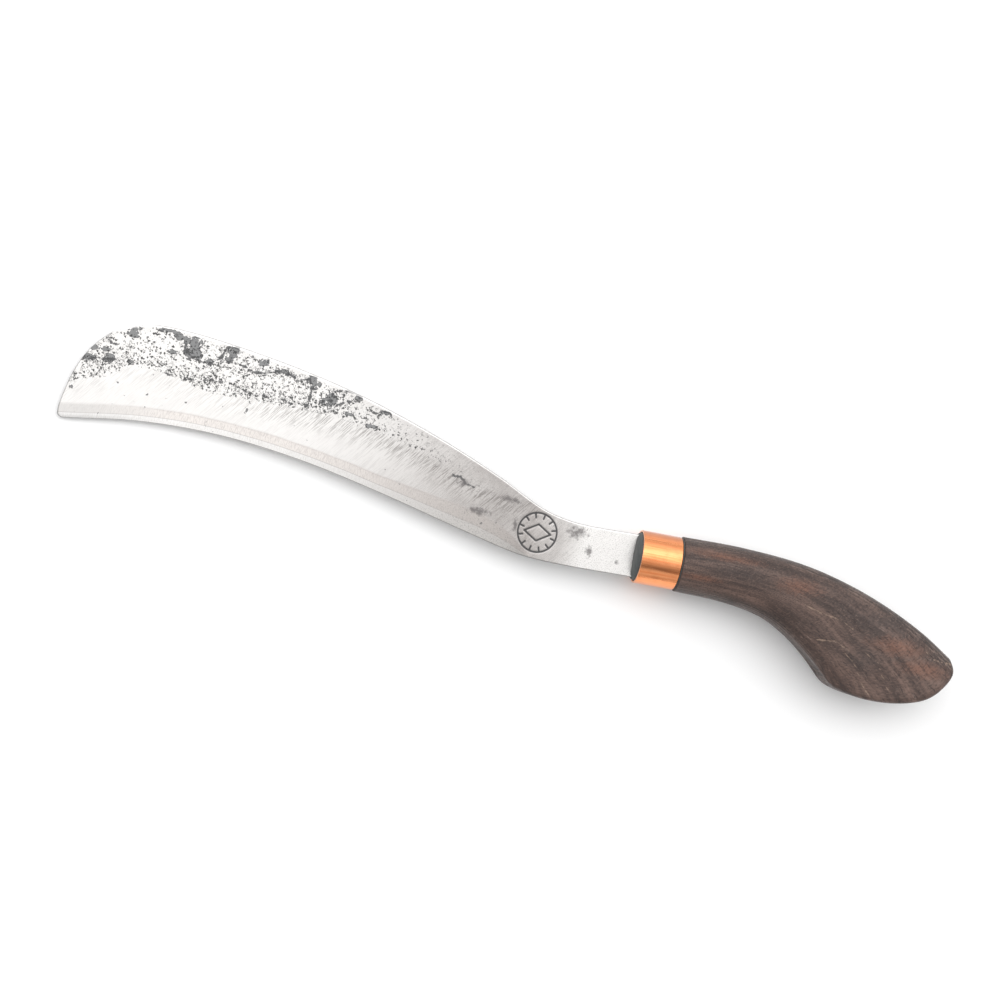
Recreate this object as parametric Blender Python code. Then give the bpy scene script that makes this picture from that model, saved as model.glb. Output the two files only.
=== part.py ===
"""Swept-blade parang: a forged blade with a stick tang, a copper ferrule and a wooden grip.

The knife is drawn flat, in its own frame: the origin is the middle of the ferrule's front rim,
+X runs down the ferrule's axis to the butt, +Y points to the spine and Z is the thickness.
An empty then lays it down on its right side, as it rests on a table.
"""
import math

import bmesh
import bpy
import numpy as np
from mathutils import Matrix, Vector

MM = 0.001
GAP = 0.3 * MM

# Ferrule: a cut length of standard 28.6 mm copper pipe with a 1 mm wall
FERRULE_DIAMETER = 28.6 * MM
FERRULE_WALL = 1.0 * MM
FERRULE_LENGTH = 21.5 * MM
FERRULE_RIM_ROUND = 0.25 * MM
FERRULE_BORE = FERRULE_DIAMETER - 2 * FERRULE_WALL

# Cured resin: the plug in the ferrule's mouth stands proud of the rim in a shallow dome
MOUTH_BACK = 8.8 * MM
MOUTH_DOME = ((0.0, -2.7), (7.0, -2.6), (10.2, -2.3), (11.8, -1.8), (12.7, -0.8), (13.0, 0.4))
GLUE_LINE_WIDTH = 0.6 * MM
GLUE_LINE_DIAMETER = FERRULE_DIAMETER

# Blade outline, ferrule to tip: few points, joined by a smooth curve
SPINE_POINTS = ((0, 11.6), (-36, 11.6), (-53.2, 15.1), (-80.2, 27.6), (-115.3, 41.7),
                (-160.8, 56.0), (-205, 65.3), (-252, 71.2), (-272.6, 71.0), (-291.3, 64.3))
EDGE_POINTS = ((0, -11.5), (-41.4, -11.9), (-62.5, -10.7), (-95.4, -3.5), (-140.6, 7.5),
               (-184.5, 16.5), (-228.1, 21.4), (-269.3, 20.9), (-309.2, 15.4))
TIP_END_POINTS = ((-309.2, 15.4), (-311.3, 16.6), (-311.8, 19.6), (-307.4, 40.2),
                  (-300.9, 53.7), (-291.3, 64.3))

# Blade thickness: the bevel is laid out by distance along the blade from the ferrule
RICASSO_HALF = 2.5 * MM
TIP_HALF = 1.4 * MM
RICASSO_LENGTH = 57 * MM
PLUNGE_LENGTH = 8 * MM
BEVEL_HALF_SHARE = 0.84
MICRO_HALF_SHARE = 0.5
EDGE_HALF = 0.15 * MM
CORNER_CHAMFER = 0.5 * MM
BEVEL_WIDTHS = ((57, 1.0), (70, 8.2), (77, 10.2), (89, 12.0), (101, 11.6), (123, 9.8), (146, 8.3),
                (224, 7.5), (255, 7.9))
MICRO_SHARE_OF_BEVEL = 0.43
FLAT_LINES = 5
BLADE_STATIONS = 72
TIP_SWEEP_START = 0.78

# Tang, hidden in the ferrule and the grip
SHOULDER_X = 6.0 * MM
SHOULDER_SLOPE = 1.5 * MM
TANG_LENGTH = 88 * MM
TANG_ROOT_HALF_WIDTH = 5.0 * MM
TANG_TIP_HALF_WIDTH = 2.2 * MM
TANG_ROOT_HALF = 2.3 * MM
TANG_TIP_HALF = 1.3 * MM

# Grip: its outline, front to butt
GRIP_BACK_POINTS = ((23.2, 14.8), (55.4, 14.9), (88.2, 12.4), (111.7, 7.5), (135.8, -0.4),
                    (160.6, -11.8), (179.0, -23.0))
GRIP_BELLY_POINTS = ((23.2, -14.8), (50.3, -15.8), (71.4, -19.6), (84.0, -25.3), (97.1, -33.5),
                     (108.2, -41.7))
BUTT_POINTS = ((108.2, -41.7), (113.0, -47.8), (123.4, -51.5), (140.4, -53.0), (157.0, -50.9),
               (168.5, -46.5), (176.7, -38.5), (180.7, -30.6), (179.0, -23.0))
GRIP_HALF_THICKNESS = ((0.0, 14.8), (0.3, 13.6), (0.6, 13.4), (0.85, 14.2), (1.0, 13.6))
GRIP_SQUARENESS = ((0.0, 2.0), (0.35, 2.4), (0.8, 2.7), (1.0, 2.7))
GRIP_STATIONS = 34
GRIP_LINES = 17
BUTT_ROUND = 3.2 * MM
BUTT_ROUND_STEPS = 4
TENON_FRONT = 9.2 * MM
GRIP_FRONT = FERRULE_LENGTH + GAP + GLUE_LINE_WIDTH + GAP
FRONT_ROUND = 0.5 * MM
BORE_RADIUS = 6.6 * MM
BORE_END = 92 * MM

# How the knife lies, in degrees: the ferrule's front rim and the end of the blade touch the table
REST_ROLL = -1.66
REST_PITCH = -2.17

# How finely curves and round pieces are divided
KNOT_STEPS = 40
RAIL_POINTS = 400
ROUND_STEPS = 64
BORE_STEPS = 48
SHARP_ANGLE = math.radians(30)
WELD = 0.001 * MM


def path_length(points):
    return sum(math.dist(a, b) for a, b in zip(points, points[1:])) * MM


BLADE_LENGTH = path_length(EDGE_POINTS)
GRIP_LENGTH = path_length(GRIP_BACK_POINTS)


def smooth_path(points, count=RAIL_POINTS):
    """Return count points, evenly spaced along a centripetal Catmull-Rom curve."""
    knots = np.array(points, dtype=float) * MM
    padded = np.vstack((2 * knots[0] - knots[1], knots, 2 * knots[-1] - knots[-2]))
    fine = []
    for index in range(1, len(padded) - 2):
        p0, p1, p2, p3 = padded[index - 1:index + 3]
        t1 = math.dist(p0, p1) ** 0.5
        t2 = t1 + math.dist(p1, p2) ** 0.5
        t3 = t2 + math.dist(p2, p3) ** 0.5
        for t in np.linspace(t1, t2, KNOT_STEPS, endpoint=False):
            a1 = p0 + (p1 - p0) * t / t1
            a2 = p1 + (p2 - p1) * (t - t1) / (t2 - t1)
            a3 = p2 + (p3 - p2) * (t - t2) / (t3 - t2)
            b1 = a1 + (a2 - a1) * t / t2
            b2 = a2 + (a3 - a2) * (t - t1) / (t3 - t1)
            fine.append(b1 + (b2 - b1) * (t - t1) / (t2 - t1))
    fine.append(padded[-2])
    fine = np.array(fine)
    run = np.concatenate(([0], np.cumsum(np.linalg.norm(np.diff(fine, axis=0), axis=1))))
    wanted = np.linspace(0, run[-1], count)
    return np.column_stack((np.interp(wanted, run, fine[:, 0]), np.interp(wanted, run, fine[:, 1])))


def at(path, share):
    """Return the point at a share of a path's length."""
    place = np.linspace(0, 1, len(path))
    return np.array((np.interp(share, place, path[:, 0]), np.interp(share, place, path[:, 1])))


def ease(share):
    share = min(max(share, 0.0), 1.0)
    return share * share * (3 - 2 * share)


def table(pairs, value):
    """Read a value from a short table of pairs."""
    return float(np.interp(value, [pair[0] for pair in pairs], [pair[1] for pair in pairs]))


def two_sided_solid(name, rows, collection, material, parent):
    """Loft a closed solid from rows of (x, y, half thickness), the same on both sides."""
    bm = bmesh.new()
    rings = []
    for row in rows:
        front = [bm.verts.new((x, y, half)) for x, y, half in row]
        back = [
            vert if half == 0 else bm.verts.new((x, y, -half))
            for vert, (x, y, half) in zip(front, row)
        ]
        rings.append((front, back))
    last = len(rows[0]) - 1
    for (front_a, back_a), (front_b, back_b) in zip(rings, rings[1:]):
        for j in range(last):
            bm.faces.new((front_a[j], front_a[j + 1], front_b[j + 1], front_b[j]))
            bm.faces.new((back_a[j + 1], back_a[j], back_b[j], back_b[j + 1]))
        for j in (0, last):
            if front_a[j] is not back_a[j]:
                bm.faces.new((front_a[j], back_a[j], back_b[j], front_b[j]))
    for front, back in (rings[0], rings[-1]):
        for j in range(last):
            corners = (front[j], front[j + 1], back[j + 1], back[j])
            bm.faces.new(dict.fromkeys(corners))
    bmesh.ops.recalc_face_normals(bm, faces=bm.faces[:])
    mesh = bpy.data.meshes.new(name)
    bm.to_mesh(mesh)
    bm.free()
    mesh.shade_smooth()
    mesh.set_sharp_from_angle(angle=SHARP_ANGLE)
    return add_object(name, mesh, collection, material, parent)


def add_object(name, mesh, collection, material, parent):
    piece = bpy.data.objects.new(name, mesh)
    collection.objects.link(piece)
    piece.parent = parent
    if material:
        mesh.materials.append(material)
    return piece


def turned_piece(name, profile, collection, material, parent):
    """Turn a (radius, x) profile about the X axis; its ends may lie on the axis."""
    bm = bmesh.new()
    verts = [bm.verts.new((x, radius, 0)) for radius, x in profile]
    pairs = [(k - 1, k) for k in range(len(profile)) if profile[k - 1][0] or profile[k][0]]
    edges = [bm.edges.new((verts[a], verts[b])) for a, b in pairs]
    bmesh.ops.spin(bm, geom=verts + edges, cent=(0, 0, 0), axis=(1, 0, 0),
                   angle=2 * math.pi, steps=ROUND_STEPS, use_merge=True)
    bmesh.ops.remove_doubles(bm, verts=bm.verts[:], dist=WELD)
    bmesh.ops.recalc_face_normals(bm, faces=bm.faces[:])
    mesh = bpy.data.meshes.new(name)
    bm.to_mesh(mesh)
    bm.free()
    mesh.shade_smooth()
    mesh.set_sharp_from_angle(angle=SHARP_ANGLE)
    return add_object(name, mesh, collection, material, parent)


def cylinder_mesh(name, radius, start, end, segments=BORE_STEPS):
    bm = bmesh.new()
    bmesh.ops.create_cone(bm, cap_ends=True, segments=segments, radius1=radius, radius2=radius,
                          depth=end - start)
    bmesh.ops.rotate(bm, verts=bm.verts[:], matrix=Matrix.Rotation(math.pi / 2, 3, "Y"))
    bmesh.ops.translate(bm, verts=bm.verts[:], vec=((start + end) / 2, 0, 0))
    mesh = bpy.data.meshes.new(name)
    bm.to_mesh(mesh)
    bm.free()
    return mesh


def box_mesh(name, low, high):
    bm = bmesh.new()
    bmesh.ops.create_cube(bm, size=1)
    size = [b - a for a, b in zip(low, high)]
    bmesh.ops.scale(bm, verts=bm.verts[:], vec=size)
    bmesh.ops.translate(bm, verts=bm.verts[:], vec=[(a + b) / 2 for a, b in zip(low, high)])
    mesh = bpy.data.meshes.new(name)
    bm.to_mesh(mesh)
    bm.free()
    return mesh


def add_cutter(name, mesh, collection, parent):
    cutter = add_object(name, mesh, collection, None, parent)
    cutter.hide_render = True
    cutter.display_type = "WIRE"
    return cutter


def cut(piece, cutter):
    modifier = piece.modifiers.new(cutter.name, "BOOLEAN")
    modifier.operation = "DIFFERENCE"
    modifier.solver = "EXACT"
    modifier.object = cutter


def make_material(name, colour, roughness, metallic):
    material = bpy.data.materials.new(name)
    material.use_nodes = True
    shader = material.node_tree.nodes["Principled BSDF"]
    shader.inputs["Base Color"].default_value = (*colour, 1)
    shader.inputs["Roughness"].default_value = roughness
    shader.inputs["Metallic"].default_value = metallic
    return material


def blade_row(share, spine, edge, tip_end):
    """Return one row across the blade, from the edge to the spine."""
    low = at(edge, share)
    high = at(spine, share)
    width = math.dist(low, high)
    along = share * BLADE_LENGTH
    taper = ease((along - RICASSO_LENGTH) / (BLADE_LENGTH - RICASSO_LENGTH))
    half = RICASSO_HALF + (TIP_HALF - RICASSO_HALF) * taper
    ground = ease((along - RICASSO_LENGTH) / PLUNGE_LENGTH)
    bevel = table(BEVEL_WIDTHS, along / MM) * MM
    micro = max(bevel * MICRO_SHARE_OF_BEVEL, CORNER_CHAMFER)
    edge_half = (half - CORNER_CHAMFER) * (1 - ground) + EDGE_HALF * ground
    micro_half = half * (1 - ground) + half * MICRO_HALF_SHARE * ground
    bevel_half = half * (1 - ground) + half * BEVEL_HALF_SHARE * ground
    stops = [(0, edge_half), (micro, micro_half), (bevel, bevel_half)]
    top = width - CORNER_CHAMFER
    for k in range(1, FLAT_LINES + 1):
        step = k / FLAT_LINES
        stops.append((bevel + (top - bevel) * step, bevel_half + (half - bevel_half) * step))
    stops.append((width, half - CORNER_CHAMFER))
    sweep = ease((share - TIP_SWEEP_START) / (1 - TIP_SWEEP_START))
    row = []
    for distance, thick in stops:
        across = distance / width
        straight = low + (high - low) * across
        bulge = at(tip_end, across) - (tip_end[0] + (tip_end[-1] - tip_end[0]) * across)
        x, y = straight + bulge * sweep
        row.append((x, y, thick))
    return row


def tang_rows():
    """Return the rows from the tang's end back to the ricasso's shoulders."""
    rows = []
    lines = FLAT_LINES + 4
    stations = (
        (TANG_LENGTH, TANG_TIP_HALF_WIDTH, TANG_TIP_HALF),
        (SHOULDER_X + SHOULDER_SLOPE, TANG_ROOT_HALF_WIDTH, TANG_ROOT_HALF),
        (SHOULDER_X, SPINE_POINTS[0][1] * MM, RICASSO_HALF),
    )
    for x, half_width, half in stations:
        row = []
        for k in range(lines):
            y = half_width * (2 * k / (lines - 1) - 1)
            on_corner = k in (0, lines - 1)
            row.append((x, y, half - CORNER_CHAMFER if on_corner else half))
        rows.append(row)
    return rows


def build_blade(collection, material, parent):
    spine = smooth_path(SPINE_POINTS)
    edge = smooth_path(EDGE_POINTS)
    tip_end = smooth_path(TIP_END_POINTS)
    rows = tang_rows()
    for k in range(BLADE_STATIONS + 1):
        rows.append(blade_row(k / BLADE_STATIONS, spine, edge, tip_end))
    return two_sided_solid("blade", rows, collection, material, parent)


def grip_row(share, back, belly, butt, shrink):
    low = at(belly, share)
    high = at(back, share)
    half = table(GRIP_HALF_THICKNESS, share) * MM - shrink
    power = table(GRIP_SQUARENESS, share)
    sweep = share ** 3
    row = []
    for k in range(GRIP_LINES):
        across = (1 - math.cos(math.pi * k / (GRIP_LINES - 1))) / 2
        straight = low + (high - low) * across
        bulge = at(butt, across) - (butt[0] + (butt[-1] - butt[0]) * across)
        x, y = straight + bulge * sweep
        on_outline = k in (0, GRIP_LINES - 1)
        swell = 0 if on_outline else (1 - abs(2 * across - 1) ** power) ** (1 / power)
        row.append((x, y, half * swell))
    return row


def round_row(x, radius):
    row = []
    for k in range(GRIP_LINES):
        angle = math.pi * k / (GRIP_LINES - 1)
        on_outline = k in (0, GRIP_LINES - 1)
        row.append((x, -radius * math.cos(angle), 0 if on_outline else radius * math.sin(angle)))
    return row


def build_handle(collection, cutters, material, parent):
    back = smooth_path(GRIP_BACK_POINTS)
    belly = smooth_path(GRIP_BELLY_POINTS)
    butt = smooth_path(BUTT_POINTS)
    tenon_radius = FERRULE_BORE / 2 - GAP
    front_radius = GRIP_BACK_POINTS[0][1] * MM
    rows = [
        round_row(TENON_FRONT, tenon_radius),
        round_row(GRIP_FRONT, tenon_radius),
        round_row(GRIP_FRONT, front_radius - FRONT_ROUND),
        round_row(GRIP_FRONT + FRONT_ROUND, front_radius),
    ]
    butt_start = 1 - BUTT_ROUND / GRIP_LENGTH
    for k in range(1, GRIP_STATIONS + 1):
        rows.append(grip_row(butt_start * k / GRIP_STATIONS, back, belly, butt, 0))
    for k in range(1, BUTT_ROUND_STEPS + 1):
        angle = math.pi / 2 * k / BUTT_ROUND_STEPS
        share = butt_start + (1 - butt_start) * math.sin(angle)
        rows.append(grip_row(share, back, belly, butt, BUTT_ROUND * (1 - math.cos(angle))))
    handle = two_sided_solid("handle", rows, collection, material, parent)
    bore = cylinder_mesh("tang_bore", BORE_RADIUS, 0, BORE_END)
    cut(handle, add_cutter("tang_bore", bore, cutters, parent))
    return handle


def build_ferrule(collection, material, parent):
    outer = FERRULE_DIAMETER / 2
    inner = FERRULE_BORE / 2
    rim = FERRULE_RIM_ROUND
    profile = ((outer - rim, 0), (outer, rim), (outer, FERRULE_LENGTH - rim),
               (outer - rim, FERRULE_LENGTH), (inner, FERRULE_LENGTH), (inner, 0))
    return turned_piece("ferrule", profile, collection, material, parent)


def build_glue_line(collection, material, parent):
    start = FERRULE_LENGTH + GAP
    outer = GLUE_LINE_DIAMETER / 2
    inner = FERRULE_BORE / 2
    profile = ((outer, start), (outer, start + GLUE_LINE_WIDTH),
               (inner, start + GLUE_LINE_WIDTH), (inner, start))
    return turned_piece("shoulder_resin_ring", profile, collection, material, parent)


def build_mouth_resin(collection, cutters, material, parent):
    profile = [(radius * MM, x * MM) for radius, x in MOUTH_DOME]
    profile += [(profile[-1][0], MOUTH_BACK), (0, MOUTH_BACK)]
    resin = turned_piece("mouth_resin", profile, collection, material, parent)
    half_width = SPINE_POINTS[0][1] * MM + GAP
    half = RICASSO_HALF + GAP
    slot = box_mesh("ricasso_slot", (-MOUTH_BACK, -half_width, -half),
                    (2 * MOUTH_BACK, half_width, half))
    cut(resin, add_cutter("ricasso_slot", slot, cutters, parent))
    return resin


def build_tang_bedding(collection, cutters, material, parent):
    end = BORE_END - GAP
    mesh = cylinder_mesh("tang_bedding", BORE_RADIUS - GAP, TENON_FRONT, end)
    bedding = add_object("tang_bedding", mesh, collection, material, parent)
    rows = []
    for x, half_width, half in (
        (TANG_LENGTH + GAP, TANG_TIP_HALF_WIDTH, TANG_TIP_HALF),
        (SHOULDER_X + SHOULDER_SLOPE, TANG_ROOT_HALF_WIDTH, TANG_ROOT_HALF),
    ):
        wide = half_width + GAP
        rows.append([(x, -wide, half + GAP), (x, wide, half + GAP)])
    slot = two_sided_solid("tang_slot", rows, cutters, None, parent)
    slot.hide_render = True
    slot.display_type = "WIRE"
    cut(bedding, slot)
    return bedding


def lay_down(knife, pieces):
    """Turn the knife to how it rests, with the middle of its box's underside at the origin."""
    knife.rotation_euler = (math.radians(REST_ROLL), math.radians(REST_PITCH), 0)
    bpy.context.view_layer.update()
    corners = [piece.matrix_world @ vert.co for piece in pieces for vert in piece.data.vertices]
    low = [min(corner[axis] for corner in corners) for axis in range(3)]
    high = [max(corner[axis] for corner in corners) for axis in range(3)]
    knife.location = -Vector(((low[0] + high[0]) / 2, (low[1] + high[1]) / 2, low[2]))


def main():
    for old in list(bpy.data.objects):
        bpy.data.objects.remove(old, do_unlink=True)
    parts = bpy.data.collections.new("parang")
    cutters = bpy.data.collections.new("cutters")
    bpy.context.scene.collection.children.link(parts)
    bpy.context.scene.collection.children.link(cutters)
    steel = make_material("forged_steel", (0.72, 0.70, 0.68), 0.32, 1.0)
    copper = make_material("polished_copper", (0.83, 0.42, 0.24), 0.2, 1.0)
    resin = make_material("black_resin", (0.035, 0.037, 0.038), 0.45, 0.0)
    wood = make_material("dark_hardwood", (0.105, 0.06, 0.045), 0.5, 0.0)
    knife = bpy.data.objects.new("knife_axis", None)
    parts.objects.link(knife)
    pieces = [
        build_blade(parts, steel, knife),
        build_ferrule(parts, copper, knife),
        build_mouth_resin(parts, cutters, resin, knife),
        build_glue_line(parts, resin, knife),
        build_tang_bedding(parts, cutters, resin, knife),
        build_handle(parts, cutters, wood, knife),
    ]
    lay_down(knife, pieces)


main()
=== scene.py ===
import math

import bmesh
import bpy
from mathutils import Euler, Matrix, Vector, noise


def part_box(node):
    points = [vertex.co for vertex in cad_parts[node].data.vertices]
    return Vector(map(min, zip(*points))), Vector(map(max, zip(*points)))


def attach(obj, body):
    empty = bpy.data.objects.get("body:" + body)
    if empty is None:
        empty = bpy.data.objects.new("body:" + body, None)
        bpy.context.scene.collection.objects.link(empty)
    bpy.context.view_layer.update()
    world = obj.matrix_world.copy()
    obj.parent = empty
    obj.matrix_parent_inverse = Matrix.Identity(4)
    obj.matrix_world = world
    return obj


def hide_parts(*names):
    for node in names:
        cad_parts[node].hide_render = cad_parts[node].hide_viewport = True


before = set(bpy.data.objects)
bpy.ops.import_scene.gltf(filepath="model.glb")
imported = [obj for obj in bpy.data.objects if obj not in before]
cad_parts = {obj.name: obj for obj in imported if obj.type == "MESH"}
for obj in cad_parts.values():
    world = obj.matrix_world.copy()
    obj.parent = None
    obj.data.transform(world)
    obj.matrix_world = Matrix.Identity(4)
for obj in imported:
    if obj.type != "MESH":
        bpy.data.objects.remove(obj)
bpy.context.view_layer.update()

# The knife's own frame, in millimetres: the middle of the ferrule's front rim is the origin,
# X runs to the butt, Y to the spine, Z through the thickness.
mm = 0.001
knife = {
    "roll": -1.66,
    "pitch": -2.17,
    "ferruleLength": 21.5,
}


def findKnife():
    turn = Euler((math.radians(knife["roll"]), math.radians(knife["pitch"]), 0)).to_matrix()
    low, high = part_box("ferrule")
    rim = (low + high) / 2 - turn @ Vector((knife["ferruleLength"] * mm / 2, 0, 0))
    return Matrix.Translation(rim) @ turn.to_4x4() @ Matrix.Scale(mm, 4)


knifeToWorld = findKnife()
print("knife frame found at", [round(c, 4) for c in knifeToWorld.translation])


# small helpers for curves and shapes

def smoothLine(points, count=400, fineSteps=40):
    # a centripetal Catmull-Rom curve through the points, then evenly spaced along its length
    knots = [Vector(p) for p in points]
    knots = [2 * knots[0] - knots[1], *knots, 2 * knots[-1] - knots[-2]]
    fine = []
    for k in range(1, len(knots) - 2):
        p0, p1, p2, p3 = knots[k - 1:k + 3]
        t1 = (p1 - p0).length ** 0.5
        t2 = t1 + (p2 - p1).length ** 0.5
        t3 = t2 + (p3 - p2).length ** 0.5
        for step in range(fineSteps):
            t = t1 + (t2 - t1) * step / fineSteps
            a1 = p0.lerp(p1, t / t1)
            a2 = p1.lerp(p2, (t - t1) / (t2 - t1))
            a3 = p2.lerp(p3, (t - t2) / (t3 - t2))
            b1 = a1.lerp(a2, t / t2)
            b2 = a2.lerp(a3, (t - t1) / (t3 - t1))
            fine.append(b1.lerp(b2, (t - t1) / (t2 - t1)))
    fine.append(knots[-2])
    runs = [0.0]
    for a, b in zip(fine, fine[1:]):
        runs.append(runs[-1] + (b - a).length)
    line = []
    spot = 0
    for k in range(count):
        wanted = runs[-1] * k / (count - 1)
        while spot < len(fine) - 2 and runs[spot + 1] < wanted:
            spot += 1
        part = (wanted - runs[spot]) / (runs[spot + 1] - runs[spot])
        line.append(fine[spot].lerp(fine[spot + 1], min(max(part, 0), 1)))
    return line


def along(line, share):
    place = min(max(share, 0), 1) * (len(line) - 1)
    low = min(int(place), len(line) - 2)
    return line[low].lerp(line[low + 1], place - low)


def ease(share):
    share = min(max(share, 0), 1)
    return share * share * (3 - 2 * share)


def readTable(pairs, value):
    for (x0, y0), (x1, y1) in zip(pairs, pairs[1:]):
        if value <= x1:
            return y0 + (y1 - y0) * min(max((value - x0) / (x1 - x0), 0), 1)
    return pairs[-1][1]


def lineLength(points):
    return sum((Vector(b) - Vector(a)).length for a, b in zip(points, points[1:]))


def quarterTurn(steps):
    return [math.pi / 2 * k / steps for k in range(steps + 1)]


def between(start, end, steps):
    # evenly spaced points from start up to the one before end
    return [[a + (b - a) * k / steps for a, b in zip(start, end)] for k in range(steps)]


def addObject(name, data):
    made = bpy.data.objects.new(name, data)
    bpy.context.scene.collection.objects.link(made)
    return made


def meshToObject(bm, name):
    mesh = bpy.data.meshes.new(name)
    bm.to_mesh(mesh)
    bm.free()
    return addObject(name, mesh)


def closeSkin(bm, name, sharpAngle=38):
    bmesh.ops.recalc_face_normals(bm, faces=bm.faces[:])
    bmesh.ops.transform(bm, matrix=knifeToWorld, verts=bm.verts[:])
    piece = meshToObject(bm, name)
    piece.data.shade_smooth()
    piece.data.set_sharp_from_angle(angle=math.radians(sharpAngle))
    return piece


def loftRings(name, rings, fields=None, mergeGap=0.0004):
    # a grid is wrapped into a closed skin: a row for each ring, a column for each point round it;
    # fields holds one dictionary of values for each point
    columns = len(rings[0])
    bm = bmesh.new()
    bmesh.ops.create_grid(bm, x_segments=columns, y_segments=len(rings) - 1, size=0.5)
    place = bm.verts.layers.float_vector.new("knifePlace")
    keys = fields[0][0] if fields else ()
    layers = {key: bm.verts.layers.float.new(key) for key in keys}
    for vert in bm.verts:
        column = round((vert.co.x + 0.5) * columns) % columns
        row = round((vert.co.y + 0.5) * (len(rings) - 1))
        vert[place] = rings[row][column]
        for key, layer in layers.items():
            vert[layer] = fields[row][column][key]
        vert.co = rings[row][column]
    bmesh.ops.remove_doubles(bm, verts=bm.verts[:], dist=mergeGap)
    bmesh.ops.dissolve_degenerate(bm, edges=bm.edges[:], dist=mergeGap / 2)
    return closeSkin(bm, name)


def turnProfile(name, profile, segments):
    # a closed profile of (x, radius) points is turned once round the knife's axis
    bm = bmesh.new()
    verts = [bm.verts.new((x, radius, 0)) for x, radius in profile]
    edges = [bm.edges.new((verts[k - 1], verts[k])) for k in range(len(verts))]
    bmesh.ops.spin(bm, geom=verts + edges, cent=(0, 0, 0), axis=(1, 0, 0), angle=2 * math.pi,
                   steps=segments, use_merge=True)
    place = bm.verts.layers.float_vector.new("knifePlace")
    for vert in bm.verts:
        vert[place] = vert.co
    return closeSkin(bm, name)


def turnedCorners(start, end, radius, size, steps):
    # the rounded outer corners of a turned piece, at its front and its back
    quarter, outer = quarterTurn(steps), radius - size
    front = [(start + size - size * math.cos(a), outer + size * math.sin(a)) for a in quarter]
    back = [(end - size + size * math.sin(a), outer + size * math.cos(a)) for a in quarter]
    return front, back


def keepInside(piece, nodes):
    # this skin is finer than the solid's, so a curve's crest is kept inside the solid's box
    boxes = [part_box(node) for node in nodes]
    low = [min(box[0][axis] for box in boxes) for axis in range(3)]
    high = [max(box[1][axis] for box in boxes) for axis in range(3)]
    for vert in piece.data.vertices:
        vert.co = [min(max(vert.co[axis], low[axis]), high[axis]) for axis in range(3)]


def finishPiece(piece, material, slotName, *nodes):
    keepInside(piece, nodes)
    piece.data.materials.append(material)
    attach(piece, "root")
    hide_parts(*nodes)
    print("made", piece.name, len(piece.data.polygons), "faces")


# camera, light and floor

studio = {
    "cameraTilt": 6.9,
    "cameraTurn": 10.7,
    "cameraDistance": 1004.7,
    "cameraAim": (-78.0, 15.8),
    "lens": 68.44,
    "sensor": 36,
    "floorSize": 4,
    "floorColour": (0.93, 0.93, 0.93, 1),
    "floorRoughness": 0.9,
    "backdrop": 1.0,
    "domeStrength": 1.0,
    # brightness round the knife's length: the angle from straight up, towards the spine side
    "domeBands": ((-180, 0.80), (-116, 0.78), (-95, 0.72), (-78, 0.66), (-62, 0.84), (-48, 0.74),
                  (-40, 0.30), (-31, 0.30), (-21, 0.62), (-8, 0.92), (2, 1.25), (12, 2.0),
                  (20, 2.3), (40, 2.3), (50, 1.9), (60, 1.4), (74, 1.0), (89, 0.75), (108, 0.52),
                  (136, 0.42), (160, 0.7), (180, 0.80)),
}


def makeCamera():
    turn = math.radians(studio["cameraTurn"])
    tilt = math.radians(studio["cameraTilt"])
    right = Vector((math.cos(turn), math.sin(turn), 0))
    up = Vector((-math.sin(turn), math.cos(turn), 0))
    normal = Vector((0, 0, 1))
    aim = Vector((*studio["cameraAim"], 0))
    spot = aim + (normal * math.cos(tilt) - right * math.sin(tilt)) * studio["cameraDistance"]
    back = (spot - aim).normalized()
    side = up.cross(back).normalized()
    rotation = Matrix((side, back.cross(side), back)).transposed()
    data = bpy.data.cameras.new("camera")
    data.lens = studio["lens"]
    data.sensor_width = studio["sensor"]
    camera = addObject("camera", data)
    knifeTurn = knifeToWorld.to_3x3().normalized()
    camera.matrix_world = Matrix.Translation(knifeToWorld @ spot) @ (knifeTurn @ rotation).to_4x4()
    bpy.context.scene.camera = camera


def makeFloor():
    bm = bmesh.new()
    bmesh.ops.create_grid(bm, x_segments=1, y_segments=1, size=studio["floorSize"])
    floor = meshToObject(bm, "floor")
    material, tree, shader = newMaterial("palePaper")
    setShader(tree, shader, Base_Color=studio["floorColour"], Roughness=studio["floorRoughness"])
    floor.data.materials.append(material)


def grey(value):
    return (value, value, value, 1)


def makeDome():
    # long soft strips of light above the spine side and darker ceiling between them: round metal
    # shows them as bands, and the shadow falls towards the edge side
    world = bpy.data.worlds.new("studioDome")
    bpy.context.scene.world = world
    world.use_nodes = True
    tree = world.node_tree
    background = tree.nodes["Background"]
    coordinates = tree.nodes.new("ShaderNodeTexCoord")
    split = addNode(tree, "ShaderNodeSeparateXYZ", [coordinates.outputs["Generated"]]).node
    angle = calculate(tree, "ARCTAN2", split.outputs["Y"], split.outputs["Z"])
    share = addNode(tree, "ShaderNodeMapRange", [angle, -math.pi, math.pi, 0.0, 1.0])
    ramp = addNode(tree, "ShaderNodeValToRGB", [share]).node
    elements = ramp.color_ramp.elements
    bands = studio["domeBands"]
    brightest = max(value for spot, value in bands)
    elements.remove(elements[1])
    for spot, value in bands:
        elements.new(spot / 360 + 0.5).color = grey(value / brightest)
    elements.remove(elements[0])
    # past the floor's end a plain pale backdrop shows, not the strips
    rays = tree.nodes.new("ShaderNodeLightPath")
    plain = grey(studio["backdrop"] / (studio["domeStrength"] * brightest))
    seen = blendColours(tree, rays.outputs["Is Camera Ray"], ramp.outputs["Color"], plain)
    tree.links.new(seen, background.inputs["Color"])
    background.inputs["Strength"].default_value = studio["domeStrength"] * brightest


# node helpers

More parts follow.
